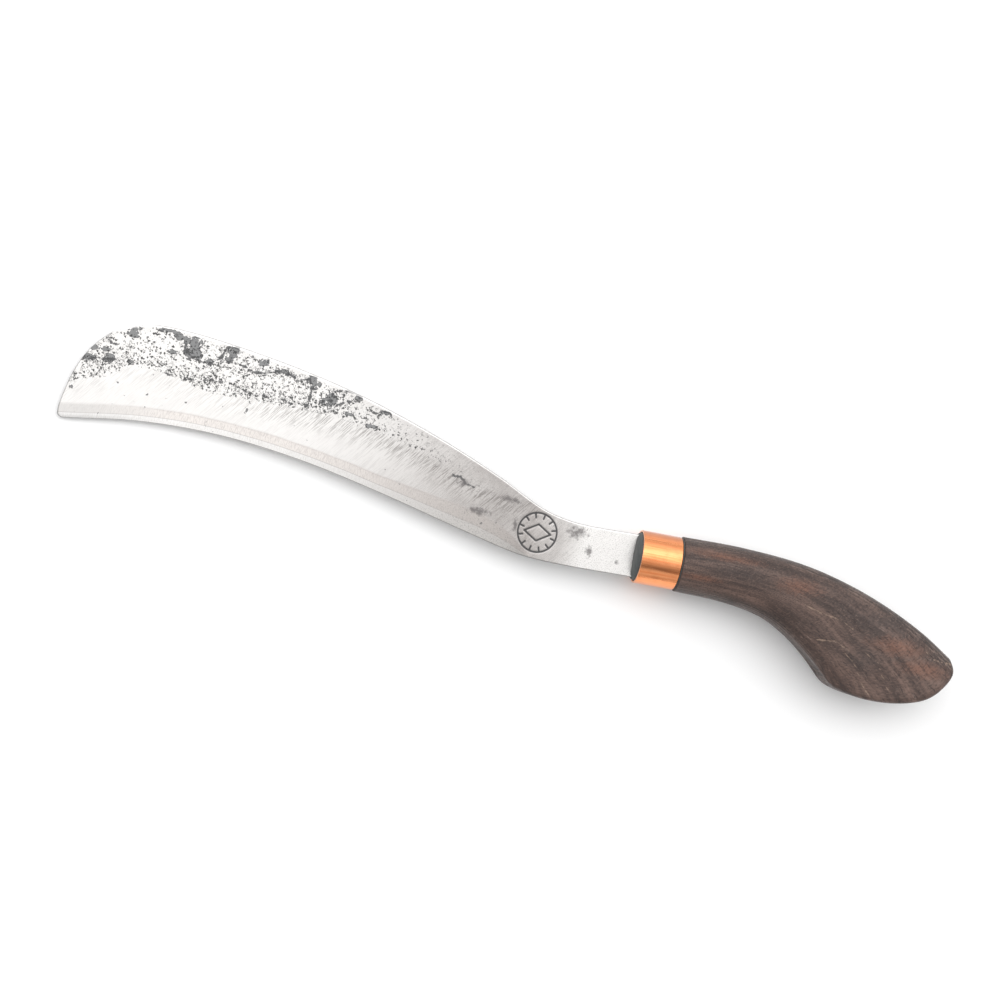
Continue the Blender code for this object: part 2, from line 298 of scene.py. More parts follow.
def addNode(tree, kind, inputs=(), output=0, **settings):
    made = tree.nodes.new(kind)
    for key, value in settings.items():
        setattr(made, key, value)
    pairs = inputs.items() if isinstance(inputs, dict) else enumerate(inputs)
    for key, value in pairs:
        if isinstance(value, bpy.types.NodeSocket):
            tree.links.new(value, made.inputs[key])
        elif value is not None:
            made.inputs[key].default_value = value
    return made.outputs[output]


def calculate(tree, operation, *values, clamp=False):
    return addNode(tree, "ShaderNodeMath", values, operation=operation, use_clamp=clamp)


def multiply(tree, *values):
    return calculate(tree, "MULTIPLY", *values)


def multiplyAdd(tree, *values):
    return calculate(tree, "MULTIPLY_ADD", *values)


def strongest(tree, *values):
    return calculate(tree, "MAXIMUM", *values)


def blendColours(tree, mask, low, high):
    return addNode(tree, "ShaderNodeMix", {0: mask, 6: low, 7: high}, 2, data_type="RGBA")


def paint(tree, colour, mask, coat):
    tint, strength = coat
    return blendColours(tree, multiply(tree, mask, strength), colour, (*tint, 1))


def blendValues(tree, mask, low, high):
    return addNode(tree, "ShaderNodeMapRange", [mask, 0.0, 1.0, low, high])


def threshold(tree, value, start, end):
    return addNode(tree, "ShaderNodeMapRange", [value, start, end, 0.0, 1.0])


def gapTo(tree, value, middle):
    return calculate(tree, "ABSOLUTE", calculate(tree, "SUBTRACT", value, middle))


def wobble(tree, value, cloud, size):
    # shifts a field up and down with a cloud, to tear its outline
    offset = multiply(tree, calculate(tree, "SUBTRACT", cloud, 0.5), size)
    return calculate(tree, "ADD", value, offset)


def readField(tree, name, output="Fac"):
    return addNode(tree, "ShaderNodeAttribute", output=output, attribute_name=name)


def addCloud(tree, place, scale, detail, output="Fac", **more):
    inputs = {"Vector": place, "Scale": scale, "Detail": detail, **more}
    return addNode(tree, "ShaderNodeTexNoise", inputs, output)


def addCells(tree, place, scale):
    # one random shade for each angular cell
    cells = addNode(tree, "ShaderNodeTexVoronoi", {"Vector": place, "Scale": scale}, "Color",
                    distance="MANHATTAN")
    return addNode(tree, "ShaderNodeSeparateColor", [cells])


def addBump(tree, height, strength, distance):
    inputs = {"Strength": strength, "Distance": distance, "Height": height}
    return addNode(tree, "ShaderNodeBump", inputs, "Normal")


def newGroup(name, inputs, outputs):
    # an input without a value is a place; the rest, and every output, are numbers
    group = bpy.data.node_groups.new(name, "ShaderNodeTree")
    for label, value in inputs.items():
        kind = "NodeSocketVector" if value is None else "NodeSocketFloat"
        socket = group.interface.new_socket(name=label, in_out="INPUT", socket_type=kind)
        if value is not None:
            socket.default_value = value
    for label in outputs:
        group.interface.new_socket(name=label, in_out="OUTPUT", socket_type="NodeSocketFloat")
    return group, group.nodes.new("NodeGroupInput"), group.nodes.new("NodeGroupOutput")


def placeGroup(tree, group, output=0, **values):
    return addNode(tree, "ShaderNodeGroup", values, output, node_tree=group)


def makeScratchGroup():
    # straight lines that run along one direction, as a mask
    group, given, result = newGroup(
        "scratchLines", {"Place": None, "Angle": 0.0, "Stretch": 0.04, "Scale": 2.0,
                         "Cover": 0.5, "Softness": 0.1}, ["Mask"])
    turned = addNode(group, "ShaderNodeVectorRotate",
                     {"Vector": given.outputs["Place"], "Angle": given.outputs["Angle"]},
                     rotation_type="Z_AXIS")
    stretch = addNode(group, "ShaderNodeCombineXYZ", [given.outputs["Stretch"], 1.0, 1.0])
    pulled = addNode(group, "ShaderNodeVectorMath", [turned, stretch], operation="MULTIPLY")
    lines = addCloud(group, pulled, given.outputs["Scale"], 3.0, Roughness=0.6)
    top = calculate(group, "ADD", given.outputs["Cover"], given.outputs["Softness"])
    mask = threshold(group, lines, given.outputs["Cover"], top)
    group.links.new(mask, result.inputs["Mask"])
    return group


def makeSpeckGroup():
    # small irregular specks, as a mask
    group, given, result = newGroup(
        "specks", {"Place": None, "Scale": 1.0, "Cover": 0.6, "Softness": 0.03}, ["Mask"])
    cloud = addCloud(group, given.outputs["Place"], given.outputs["Scale"], 4.0, Roughness=0.68)
    top = calculate(group, "ADD", given.outputs["Cover"], given.outputs["Softness"])
    mask = threshold(group, cloud, given.outputs["Cover"], top)
    group.links.new(mask, result.inputs["Mask"])
    return group


def newMaterial(name):
    material = bpy.data.materials.new(name)
    material.use_nodes = True
    return material, material.node_tree, material.node_tree.nodes["Principled BSDF"]


def setShader(tree, shader, **sockets):
    for key, value in sockets.items():
        socket = shader.inputs[key.replace("_", " ")]
        if isinstance(value, bpy.types.NodeSocket):
            tree.links.new(value, socket)
        else:
            socket.default_value = value


scratchLines = makeScratchGroup()
specks = makeSpeckGroup()


def addScratches(tree, place, lines):
    stretch, scale, cover, softness, angle = lines
    return placeGroup(tree, scratchLines, Place=place, Stretch=stretch, Scale=scale, Cover=cover,
                      Softness=softness, Angle=angle)


def addSpecks(tree, place, spots):
    scale, cover, softness = spots
    return placeGroup(tree, specks, Place=place, Scale=scale, Cover=cover, Softness=softness)
makeCamera()
makeFloor()
makeDome()
bpy.context.scene.view_settings.view_transform = "Standard"
print("studio ready")


# blade: forged steel, one forging with its stick tang

blade = {
    "spine": ((0, 11.6), (-36, 11.6), (-53.2, 15.1), (-80.2, 27.6), (-115.3, 41.7),
              (-160.8, 56.0), (-205, 65.3), (-252, 71.2), (-272.6, 71.0), (-291.3, 64.3)),
    "edge": ((0, -11.5), (-41.4, -11.9), (-62.5, -10.7), (-95.4, -3.5), (-140.6, 7.5),
             (-184.5, 16.5), (-228.1, 21.4), (-269.3, 20.9), (-309.2, 15.4)),
    "tipEnd": ((-309.2, 15.4), (-311.3, 16.6), (-311.8, 19.6), (-307.4, 40.2),
               (-300.9, 53.7), (-291.3, 64.3)),
    "ricassoHalf": 2.5,
    "tipHalf": 1.4,
    "ricassoLength": 57.0,
    "plungeLength": 8.0,
    # the tang, from its end to the ricasso: X, half its width and half its thickness
    "tang": ((88, 2.2, 0.0), (88, 2.2, 1.0), (87.5, 2.2, 1.3), (48, 3.6, 1.8), (7.5, 5.0, 2.3),
             (6.0, 11.6, 2.5), (3.0, 11.6, 2.5)),
    "bevelWidths": ((57, 1.0), (70, 8.2), (77, 10.2), (89, 12.0), (101, 11.6), (123, 9.8),
                    (146, 8.3), (224, 7.5), (255, 7.9)),
    "microShare": 0.43,
    "microHalfShare": 0.5,
    "bevelHalfShare": 0.84,
    "edgeHalf": 0.12,
    "corner": 0.5,
    "tipSweepStart": 0.78,
    # rings that close the tip: place along the blade, and share of the thickness
    "tipRings": ((0.9993, 0.9), (1.0, 0.72), (1.0, 0.0)),
    "lastColumn": 0.998,
    "markLength": 76.0,
    "markColumns": 200,
    "bladeColumns": 370,
    "microRows": 5,
    "bevelRows": 8,
    "flatRows": 52,
    "cornerSteps": 4,
    "hammerDepth": 0.05,
    "hammerScale": 0.05,
    "flatMargin": 0.8,
    "tipMargin": 1.5,
    "grindWander": 0.35,
    "wanderScale": 0.06,
    # dark flakes of forge scale: centre X, Y and size along and across
    "flakes": ((-301, 49, 8, 4), (-291, 50, 6, 5), (-294, 54, 6, 2), (-299, 54, 3, 2),
               (-281, 65, 6, 4), (-280, 68, 4, 1), (-265, 70, 9, 2), (-258, 68, 6, 4),
               (-250, 66, 8, 7), (-250, 60, 9, 6), (-260, 59, 6, 2), (-241, 58, 5, 3),
               (-229, 65, 6, 8), (-231, 61, 6, 3), (-212, 63, 6, 4), (-219, 65, 3, 2),
               (-202, 60, 7, 3), (-280, 50, 3, 2), (-217, 37, 2, 3), (-307, 32, 2, 2),
               (-186, 58, 7, 6), (-175, 51, 5, 9), (-179, 49, 5, 3), (-161, 54, 5, 3),
               (-164, 45, 6, 2), (-152, 41, 5, 2), (-146, 49, 4, 2)),
    # torn seams between the flakes
    "seams": (((-254, 66), (-254, 62), (-249, 58), (-241, 57), (-236, 60), (-228, 60),
               (-222, 59), (-217, 57), (-211, 58), (-205, 60), (-196, 59)),
              ((-199, 60), (-194, 57), (-188, 59), (-186, 53), (-187, 45)),
              ((-263, 48), (-257, 47.3)), ((-251, 47), (-246, 47.2)),
              ((-241, 47.6), (-238, 49), (-232, 48.6)), ((-224, 48), (-219, 46.2)),
              ((-213, 45.4), (-208, 45.8)), ((-199, 45.6), (-194, 44.6)),
              ((-304, 48), (-294, 49), (-287, 50)),
              ((-236, 60), (-234, 64), (-233, 67), (-227, 68)),
              ((-294, 60), (-291, 58), (-288, 58)),
              ((-180, 48), (-175, 51), (-175, 55), (-166, 57), (-160, 55), (-162, 52),
               (-168, 51), (-173, 47)),
              ((-154, 49), (-151, 48), (-147, 50), (-143, 49)),
              ((-105, 24), (-101, 24), (-98, 21), (-93, 20))),
    # how far the pitting reaches down from the spine, by distance from the ferrule
    "pitDepth": ((0, 0), (60, 0), (95, 13.6), (150, 14.4), (182, 17.8), (201, 21.5), (228, 26.5),
                 (247, 29.5), (272, 26.6), (286, 27), (295, 34), (330, 36)),
    "pitStrength": ((0, 0), (80, 0.15), (110, 0.35), (150, 0.7), (185, 1.0), (330, 1.0)),
    # the duller stretch ahead of the ferrule, by distance from it
    "dullness": ((0, 0), (30, 0.03), (44, 0.7), (60, 1.0), (100, 0.85), (150, 0.35), (195, 0.05),
                 (330, 0.0)),
    "stains": ((-73, 17, 14, 4), (-68, 4.7, 3, 8), (-27, -2.1, 5, 7), (-11, -5.2, 3, 3),
               (-35, 6.5, 14, 8), (-99, 21, 10, 5), (-88, 8, 15, 5)),
    "otherSideShift": 27.0,  # moves the scale and stains along the hidden side
    "noMark": 9,  # the gap to the mark's lines, wherever the mark can't be
}
mark = {"centre": (-55.6, 2.5), "ring": 10.4, "lozenge": 4.4, "line": 0.5, "ticks": 12,
        "tickPlace": 0.84, "tickHalf": 0.9, "slant": 0.62, "slantScale": 0.85, "depth": 0.2}


def spotField(x, y, spots, shift):
    # 1.5 at a spot's middle, 0.5 on its outline, falling away outside
    best = 0.0
    for cx, cy, w, h in spots:
        if abs(x - cx - shift) < w and abs(y - cy) < h:
            best = max(best, 1.5 - math.hypot((x - cx - shift) / (w * 0.5), (y - cy) / (h * 0.5)))
    return best


def seamDistance(x, y, seams, far):
    # distance to the nearest seam, up to far
    best = far
    for seam in seams:
        for (ax, ay), (bx, by) in zip(seam, seam[1:]):
            if min(ax, bx) - best < x < max(ax, bx) + best and \
                    min(ay, by) - best < y < max(ay, by) + best:
                dx, dy = bx - ax, by - ay
                share = ((x - ax) * dx + (y - ay) * dy) / (dx * dx + dy * dy)
                share = min(max(share, 0), 1)
                best = min(best, math.hypot(x - ax - dx * share, y - ay - dy * share))
    return best


def markDistance(x, y):
    # distance to the nearest line of the smith's mark: a ring with ticks round a lozenge
    x -= mark["centre"][0]
    y -= mark["centre"][1]
    reach = math.hypot(x, y)
    ring = abs(reach - mark["ring"])
    sector = 2 * math.pi / mark["ticks"]
    angle = math.atan2(y, x) % sector - sector / 2
    tickRun = abs(reach * math.cos(angle) - mark["ring"] * mark["tickPlace"])
    tick = math.hypot(reach * math.sin(angle), max(tickRun - mark["tickHalf"], 0))
    lozenge = abs(abs(x) * mark["slant"] + abs(y) - mark["lozenge"]) * mark["slantScale"]
    return min(ring, tick, lozenge)


bladeSpine = smoothLine(blade["spine"])
bladeEdge = smoothLine(blade["edge"])
bladeTipEnd = smoothLine(blade["tipEnd"])
bladeLength = lineLength(blade["edge"])


def bladeStops(width, run):
    corner = blade["corner"]
    taper = ease((run - blade["ricassoLength"]) / (bladeLength - blade["ricassoLength"]))
    half = blade["ricassoHalf"] + (blade["tipHalf"] - blade["ricassoHalf"]) * taper
    ground = ease((run - blade["ricassoLength"]) / blade["plungeLength"])
    wander = noise.noise(Vector((run * blade["wanderScale"], 3.1, 0)))
    bevel = readTable(blade["bevelWidths"], run) + wander * blade["grindWander"] * ground
    micro = max(bevel * blade["microShare"], corner)
    edgeHalf = (half - corner) * (1 - ground) + blade["edgeHalf"] * ground
    microHalf = half * (1 - ground + ground * blade["microHalfShare"])
    bevelHalf = half * (1 - ground + ground * blade["bevelHalfShare"])
    top = width - corner
    stops = between((0, edgeHalf), (micro, microHalf), blade["microRows"])
    stops += between((micro, microHalf), (bevel, bevelHalf), blade["bevelRows"])
    stops += between((bevel, bevelHalf), (top, half), blade["flatRows"])
    stops += [(top + corner * math.sin(angle), half - corner * (1 - math.cos(angle)))
              for angle in quarterTurn(blade["cornerSteps"])]
    return stops, bevel


def bladeSection(share, shrink=1.0):
    low = along(bladeEdge, share)
    high = along(bladeSpine, share)
    width = (high - low).length
    run = share * bladeLength
    stops, bevel = bladeStops(width, run)
    sweep = ease((share - blade["tipSweepStart"]) / (1 - blade["tipSweepStart"]))
    section = []
    for distance, thick in stops:
        across = distance / width
        chord = bladeTipEnd[0].lerp(bladeTipEnd[-1], across)
        spot = low.lerp(high, across) + (along(bladeTipEnd, across) - chord) * sweep
        section.append((spot.x, spot.y, thick * shrink, distance, width, bevel, run))
    return section


def tangSections():
    last = len(bladeSection(0)) - 1
    sections = []
    for x, halfWidth, half in blade["tang"]:
        section = []
        for k in range(last + 1):
            y = halfWidth * (2 * k / last - 1)
            corner = blade["corner"] if k in (0, last) else 0
            section.append((x, y, max(half - corner, 0), y + halfWidth, 2 * halfWidth, 1.0, 0.0))
        sections.append(section)
    return sections


def bladeRelief(x, y, side, fromSides, run, markGap):
    # how far the face dips below flat: soft hammer marks, and the mark's grooves
    margin = blade["flatMargin"]
    if fromSides < margin or run <= 0 or run > bladeLength - blade["tipMargin"]:
        return 0.0
    scale = blade["hammerScale"]
    wave = noise.noise(Vector((x * scale, y * scale, 7 * side)))
    relief = blade["hammerDepth"] * (0.5 + 0.5 * wave) * ease((fromSides - margin) / 3)
    relief *= ease((run - blade["ricassoLength"]) / 10)
    if side == 1:
        relief += mark["depth"] * (1 - ease(markGap / mark["line"] - 0.3))
    return relief


def bladeFields(x, y, side, fromEdge, width, bevel, run, markGap):
    # what the finish reads at one point of the skin
    shift = 0 if side == 1 else blade["otherSideShift"]
    fromSpine = width - fromEdge
    reach = readTable(blade["pitDepth"], run)
    pits = grind = 0
    if reach > 0:
        nearEnd = ease(fromSpine / max(reach, 1) * 1.6 - 0.6)
        pits = ease((reach - fromSpine) / 5) * readTable(blade["pitStrength"], run)
        pits = pits * (0.4 + 0.6 * nearEnd) * ease((fromSpine - 0.7) / 2.5)
        below = fromSpine - reach
        tipFade = 1 - 0.75 * ease((run - 200) / 50)
        grind = ease((below + 4) / 4) * (1 - ease(below / 12)) * tipFade
    return {
        "fromSpine": fromSpine,
        "fromEdge": fromEdge,
        "bevelShare": fromEdge / max(bevel, 0.01) if run > blade["ricassoLength"] else 9,
        "run": run,
        "flakeField": spotField(x, y, blade["flakes"], shift),
        "seamGap": seamDistance(x - shift, y, blade["seams"], 4.0),
        "pitField": pits,
        "grindField": grind,
        "stainField": spotField(x, y, blade["stains"], shift),
        "dullField": readTable(blade["dullness"], run),
        "markGap": markGap,
    }


def makeBlade():
    split = blade["markLength"] / bladeLength
    shares = [split * k / blade["markColumns"] for k in range(blade["markColumns"])]
    shares += [split + (blade["lastColumn"] - split) * k / blade["bladeColumns"]
               for k in range(blade["bladeColumns"] + 1)]
    sections = tangSections() + [bladeSection(share) for share in shares]
    sections += [bladeSection(*ring) for ring in blade["tipRings"]]
    rings, fields = [], []
    for section in sections:
        ring, row = [], []
        for side in (1, -1):
            for x, y, half, fromEdge, width, bevel, run in section[::side]:
                marked = side == 1 and run < blade["markLength"]
                markGap = markDistance(x, y) if marked else blade["noMark"]
                fromSides = min(fromEdge, width - fromEdge)
                relief = bladeRelief(x, y, side, fromSides, run, markGap)
                ring.append(Vector((x, y, side * max(half - relief, 0))))
                row.append(bladeFields(x, y, side, fromEdge, width, bevel, run, markGap))
        rings.append(ring)
        fields.append(row)
    return loftRings("forgedBlade", rings, fields)


# start and end of each mask's edge, the size of each pattern, and how far it tears an outline
flaking = {
    "jagScale": 0.45,
    "cellScale": 0.5,
    "cellTear": 0.9,
    "jagTear": 0.55,
    "flakeEdge": (0.50, 0.54),
    "rimEdge": (0.60, 0.72),
    "seamTear": -3.6,
    "seamEdge": (0.62, 0.30),
    "nearSeam": (3.8, 0.5),
    "zoneTear": 0.5,
    "zoneEdge": (0.10, 0.30),
    "curlScale": 0.72,
    "strokeEdge": (0.06, 0.035),
    "chipScale": 1.1,
    "dotScale": 1.5,
}


def makeScaleGroup():
    # torn angular flakes with darker rims, seams, curled strokes and small flecks
    group, given, result = newGroup(
        "forgeScale", {"Place": None, "Flakes": 0.0, "Seams": 4.0, "Pits": 0.0},
        ["Flake", "Rim", "Fleck", "Jag"])
    place = given.outputs["Place"]
    jag = addCloud(group, place, flaking["jagScale"], 4.0, Roughness=0.6)
    cells = addCells(group, place, flaking["cellScale"])
    torn = wobble(group, given.outputs["Flakes"], cells, flaking["cellTear"])
    torn = wobble(group, torn, jag, flaking["jagTear"])
    flake = threshold(group, torn, *flaking["flakeEdge"])
    inner = threshold(group, torn, *flaking["rimEdge"])
    rim = calculate(group, "SUBTRACT", flake, inner, clamp=True)

    seam = wobble(group, given.outputs["Seams"], jag, flaking["seamTear"])
    seamMask = threshold(group, seam, *flaking["seamEdge"])
    nearSeam = threshold(group, given.outputs["Seams"], *flaking["nearSeam"])

    density = multiplyAdd(group, nearSeam, 0.45, given.outputs["Pits"])
    zone = wobble(group, given.outputs["Pits"], jag, flaking["zoneTear"])
    inZone = threshold(group, zone, *flaking["zoneEdge"])
    curl = addCloud(group, place, flaking["curlScale"], 1.0, Distortion=0.8)
    stroke = threshold(group, gapTo(group, curl, 0.5), *flaking["strokeEdge"])
    breaks = addCloud(group, place, 0.5, 2.0)
    cover = multiplyAdd(group, density, -0.15, 0.605)
    kept = threshold(group, calculate(group, "SUBTRACT", breaks, cover), 0.0, 0.02)
    stroke = multiply(group, stroke, kept)

    chips = addCells(group, place, flaking["chipScale"])
    cover = multiplyAdd(group, density, -0.15, 1.0)
    chip = threshold(group, calculate(group, "SUBTRACT", chips, cover), 0.0, 0.004)
    cover = multiplyAdd(group, density, -0.06, 0.66)
    dots = addSpecks(group, place, (flaking["dotScale"], cover, 0.02))
    fleck = strongest(group, strongest(group, stroke, chip), dots)
    fleck = multiply(group, fleck, inZone)
    for label, mask in (("Flake", flake), ("Rim", strongest(group, rim, seamMask)),
                        ("Fleck", fleck), ("Jag", jag)):
        group.links.new(mask, result.inputs[label])
    return group


# a pair of colours is mixed by a cloud or by scratches; a coat is its tint and how strongly it
# covers; lines are stretch, scale, cover, softness and angle; spots are scale, cover and softness
steel = {
    "ground": ((0.71, 0.695, 0.68, 1), (0.78, 0.765, 0.75, 1)),
    "dull": ((0.365, 0.338, 0.325), 0.85),
    "coarse": (0.22, 0.205, 0.195, 1),
    "coarseStrength": (0.05, 0.55, 0.22),  # everywhere, more where ground, more where dull
    "fine": ((0.30, 0.28, 0.27), 0.07),
    "bevel": ((0.90, 0.86, 0.83, 1), (0.70, 0.66, 0.635, 1)),
    "bevelDull": ((0.50, 0.465, 0.445), 0.95),
    "honed": ((1.0, 0.985, 0.97, 1), (0.86, 0.84, 0.82, 1)),
    "honedDull": ((0.50, 0.475, 0.455), 0.75),
    "honedBorder": ((0.45, 0.42, 0.41), 0.5),
    "bevelBorder": ((0.45, 0.42, 0.41), 0.3),
    # painted shade: a dark line along the edge and at the tip's end
    "paintedEdgeShade": ((0.20, 0.195, 0.19), 0.7),
    "flake": ((0.17, 0.172, 0.175, 1), (0.25, 0.25, 0.25, 1)),
    "flakeStrength": 0.95,
    "fleck": ((0.05, 0.05, 0.05), 0.94),
    "rim": ((0.075, 0.075, 0.078), 0.9),
    "stain": ((0.13, 0.12, 0.12), 0.8),
    "grime": ((0.22, 0.21, 0.20), 0.55),
    "mark": ((0.06, 0.06, 0.062), 0.93),
    # the spine's corner: a painted highlight; the spine's back: painted shade
    "paintedSpineHighlight": ((0.95, 0.94, 0.93), 0.6),
    "back": ((0.25, 0.24, 0.235), 0.72),
    "coarseLines": (0.05, 2.5, 0.51, 0.05, -0.9),
    "fineLines": (0.03, 3.6, 0.48, 0.2, -0.8),
    "hatchLines": (0.06, 3.0, 0.46, 0.2, -1.4),
    "grimeSpots": (2.0, 0.545, 0.05),
    "roughness": (0.34, 0.46),
    "bevelRoughness": 0.62,
    "scaleRoughness": 0.62,
    "scaleMetal": 0.25,
}


def steelMaterial():
    material, tree, shader = newMaterial("forgedSteel")
    place = readField(tree, "knifePlace", "Vector")
    fromSpine, fromEdge, bevelShare, run, grindField, dullField = [
        readField(tree, key) for key in
        ("fromSpine", "fromEdge", "bevelShare", "run", "grindField", "dullField")]

    # ground metal, with the belt's scratches running up towards the spine
    cloud = addCloud(tree, place, 0.06, 3.0)
    coarse = addScratches(tree, place, steel["coarseLines"])
    fine = addScratches(tree, place, steel["fineLines"])
    colour = blendColours(tree, cloud, *steel["ground"])
    dull = wobble(tree, dullField, cloud, dullField)
    colour = paint(tree, colour, dull, steel["dull"])
    always, whereGround, whereDull = steel["coarseStrength"]
    deep = multiplyAdd(tree, grindField, whereGround, always)
    deep = multiplyAdd(tree, dullField, whereDull, deep)
    deep = multiply(tree, coarse, deep)
    colour = blendColours(tree, deep, colour, steel["coarse"])
    colour = paint(tree, colour, fine, steel["fine"])

    # bevel: hatched across, with a paler honed strip and fine dark lines at its borders
    hatch = addScratches(tree, place, steel["hatchLines"])
    onBevel = threshold(tree, bevelShare, 1.06, 0.97)
    onHoned = threshold(tree, bevelShare, 0.47, 0.42)
    notTip = threshold(tree, run, bladeLength - 12, bladeLength - 55)
    bevelColour = blendColours(tree, hatch, *steel["bevel"])
    bevelColour = paint(tree, bevelColour, dullField, steel["bevelDull"])
    honedColour = blendColours(tree, hatch, *steel["honed"])
    honedColour = paint(tree, honedColour, dullField, steel["honedDull"])
    bevelMask = multiply(tree, onBevel, multiplyAdd(tree, notTip, 0.75, 0.25))
    colour = blendColours(tree, bevelMask, colour, bevelColour)
    colour = blendColours(tree, onHoned, colour, honedColour)
    honedBorder = threshold(tree, gapTo(tree, bevelShare, 0.44), 0.035, 0.01)
    colour = paint(tree, colour, honedBorder, steel["honedBorder"])
    bevelBorder = threshold(tree, gapTo(tree, bevelShare, 0.98), 0.08, 0.0)
    bevelBorder = multiply(tree, bevelBorder, notTip)
    colour = paint(tree, colour, bevelBorder, steel["bevelBorder"])
    # painted shade: a dark line along the edge and at the tip's end
    paintedEdgeShade = strongest(tree, threshold(tree, fromEdge, 0.55, 0.2),
                         threshold(tree, run, bladeLength - 0.9, bladeLength - 0.3))
    colour = paint(tree, colour, paintedEdgeShade, steel["paintedEdgeShade"])

    # forge scale
    scale = placeGroup(tree, forgeScale, Place=place, Flakes=readField(tree, "flakeField"),
                       Seams=readField(tree, "seamGap"), Pits=readField(tree, "pitField")).node
    flake, rim, fleck, jag = [scale.outputs[key] for key in ("Flake", "Rim", "Fleck", "Jag")]
    flakeColour = blendColours(tree, jag, *steel["flake"])
    flakeMask = multiply(tree, flake, steel["flakeStrength"])
    colour = blendColours(tree, flakeMask, colour, flakeColour)
    colour = paint(tree, colour, fleck, steel["fleck"])
    colour = paint(tree, colour, rim, steel["rim"])
    dark = strongest(tree, strongest(tree, flake, rim), fleck)

    # stains, and the fine specks near the ferrule
    stain = threshold(tree, wobble(tree, readField(tree, "stainField"), jag, 2.4), 0.55, 1.25)
    colour = paint(tree, colour, stain, steel["stain"])
    grime = addSpecks(tree, place, steel["grimeSpots"])
    grime = multiply(tree, grime, threshold(tree, run, 150, 90))
    colour = paint(tree, colour, grime, steel["grime"])

    # the mark's grooves hold dark oxide
    inMark = threshold(tree, readField(tree, "markGap"), mark["line"] * 1.25, mark["line"] * 0.7)
    colour = paint(tree, colour, inMark, steel["mark"])

    # a painted highlight along the spine's corner, and painted shade on the back beyond it
    colour = paint(tree, colour, threshold(tree, fromSpine, 1.1, 0.6), steel["paintedSpineHighlight"])
    colour = paint(tree, colour, threshold(tree, fromSpine, 0.55, 0.3), steel["back"])

    rough = blendValues(tree, coarse, *steel["roughness"])
    rough = blendValues(tree, bevelMask, rough, steel["bevelRoughness"])
    rough = blendValues(tree, dark, rough, steel["scaleRoughness"])
    metal = blendValues(tree, dark, 1.0, steel["scaleMetal"])
    height = multiply(tree, coarse, -0.10)
    height = multiplyAdd(tree, fine, -0.05, height)
    height = multiplyAdd(tree, fleck, -0.8, height)
    height = multiplyAdd(tree, flake, 0.7, height)
    setShader(tree, shader, Base_Color=colour, Roughness=rough, Metallic=metal,
              Normal=addBump(tree, height, 0.3, 0.0002))
    return material


forgeScale = makeScaleGroup()
finishPiece(makeBlade(), steelMaterial(), "forged_steel", "blade")


# ferrule: a cut length of polished copper pipe

ferrule = {
    "radius": 14.3,
    "bore": 13.3,
    "length": knife["ferruleLength"],
    "rimRound": 0.3,
    "boreChamfer": 0.1,
    "rimSteps": 5,
    "sideRows": 24,
    "segments": 160,
}


def makeFerrule():
    size, length, radius = ferrule["rimRound"], ferrule["length"], ferrule["radius"]
    bore, cut, rows = ferrule["bore"], ferrule["boreChamfer"], ferrule["sideRows"]
    front, back = turnedCorners(0, length, radius, size, ferrule["rimSteps"])
    side = [(size + (length - size - size) * k / rows, radius) for k in range(1, rows)]
    profile = [(cut, bore), (0, bore + cut), *front, *side, *back]
    profile += [(length, bore + cut), (length - cut, bore)]
    return turnProfile("copperFerrule", profile, ferrule["segments"])


copper = {
    "metal": ((0.95, 0.375, 0.165, 1), (0.82, 0.26, 0.095, 1)),
    "patina": ((0.55, 0.17, 0.06), 0.35),
    # a painted dark reflection along the spine side
    "paintedDarkReflection": ((0.36, 0.17, 0.11), 0.62),
    # the sawn front face's paler colour is a painted highlight
    "sawnFaceAndGlint": ((0.95, 0.60, 0.42), 0.7),
    "brushLines": (0.03, 1.1, 0.42, 0.3, 0.0),
    "hairlines": (0.015, 5.5, 0.5, 0.2, 0.0),
    "patinaEdge": (0.5, 0.75),
    "paintedDarkReflectionEdge": (9.5, 13.6),
    "sawnEdge": (0.14, 0.04),
    "roughness": (0.06, 0.14),
    "sawnRoughness": 0.4,
}


def copperMaterial():
    material, tree, shader = newMaterial("polishedCopper")
    place = readField(tree, "knifePlace", "Vector")
    split = addNode(tree, "ShaderNodeSeparateXYZ", [place]).node
    lines = addScratches(tree, place, copper["brushLines"])
    hairlines = addScratches(tree, place, copper["hairlines"])
    colour = blendColours(tree, lines, *copper["metal"])
    patina = threshold(tree, addCloud(tree, place, 0.18, 4.0), *copper["patinaEdge"])
    colour = paint(tree, colour, patina, copper["patina"])
    # a painted dark reflection in a band along the spine side
    paintedDarkReflection = threshold(tree, split.outputs["Y"], *copper["paintedDarkReflectionEdge"])
    colour = paint(tree, colour, paintedDarkReflection, copper["paintedDarkReflection"])
    # the sawn front face is duller than the polished side, and its paler colour is a painted
    # highlight
    sawnFaceAndGlint = threshold(tree, split.outputs["X"], *copper["sawnEdge"])
    colour = paint(tree, colour, sawnFaceAndGlint, copper["sawnFaceAndGlint"])
    rough = blendValues(tree, hairlines, *copper["roughness"])
    rough = blendValues(tree, sawnFaceAndGlint, rough, copper["sawnRoughness"])
    setShader(tree, shader, Base_Color=colour, Roughness=rough, Metallic=1.0,
              Normal=addBump(tree, hairlines, 0.12, 0.0001))
    return material


finishPiece(makeFerrule(), copperMaterial(), "polished_copper", "ferrule")


# resin: the filled mouth, the glue line and the bedding round the tang

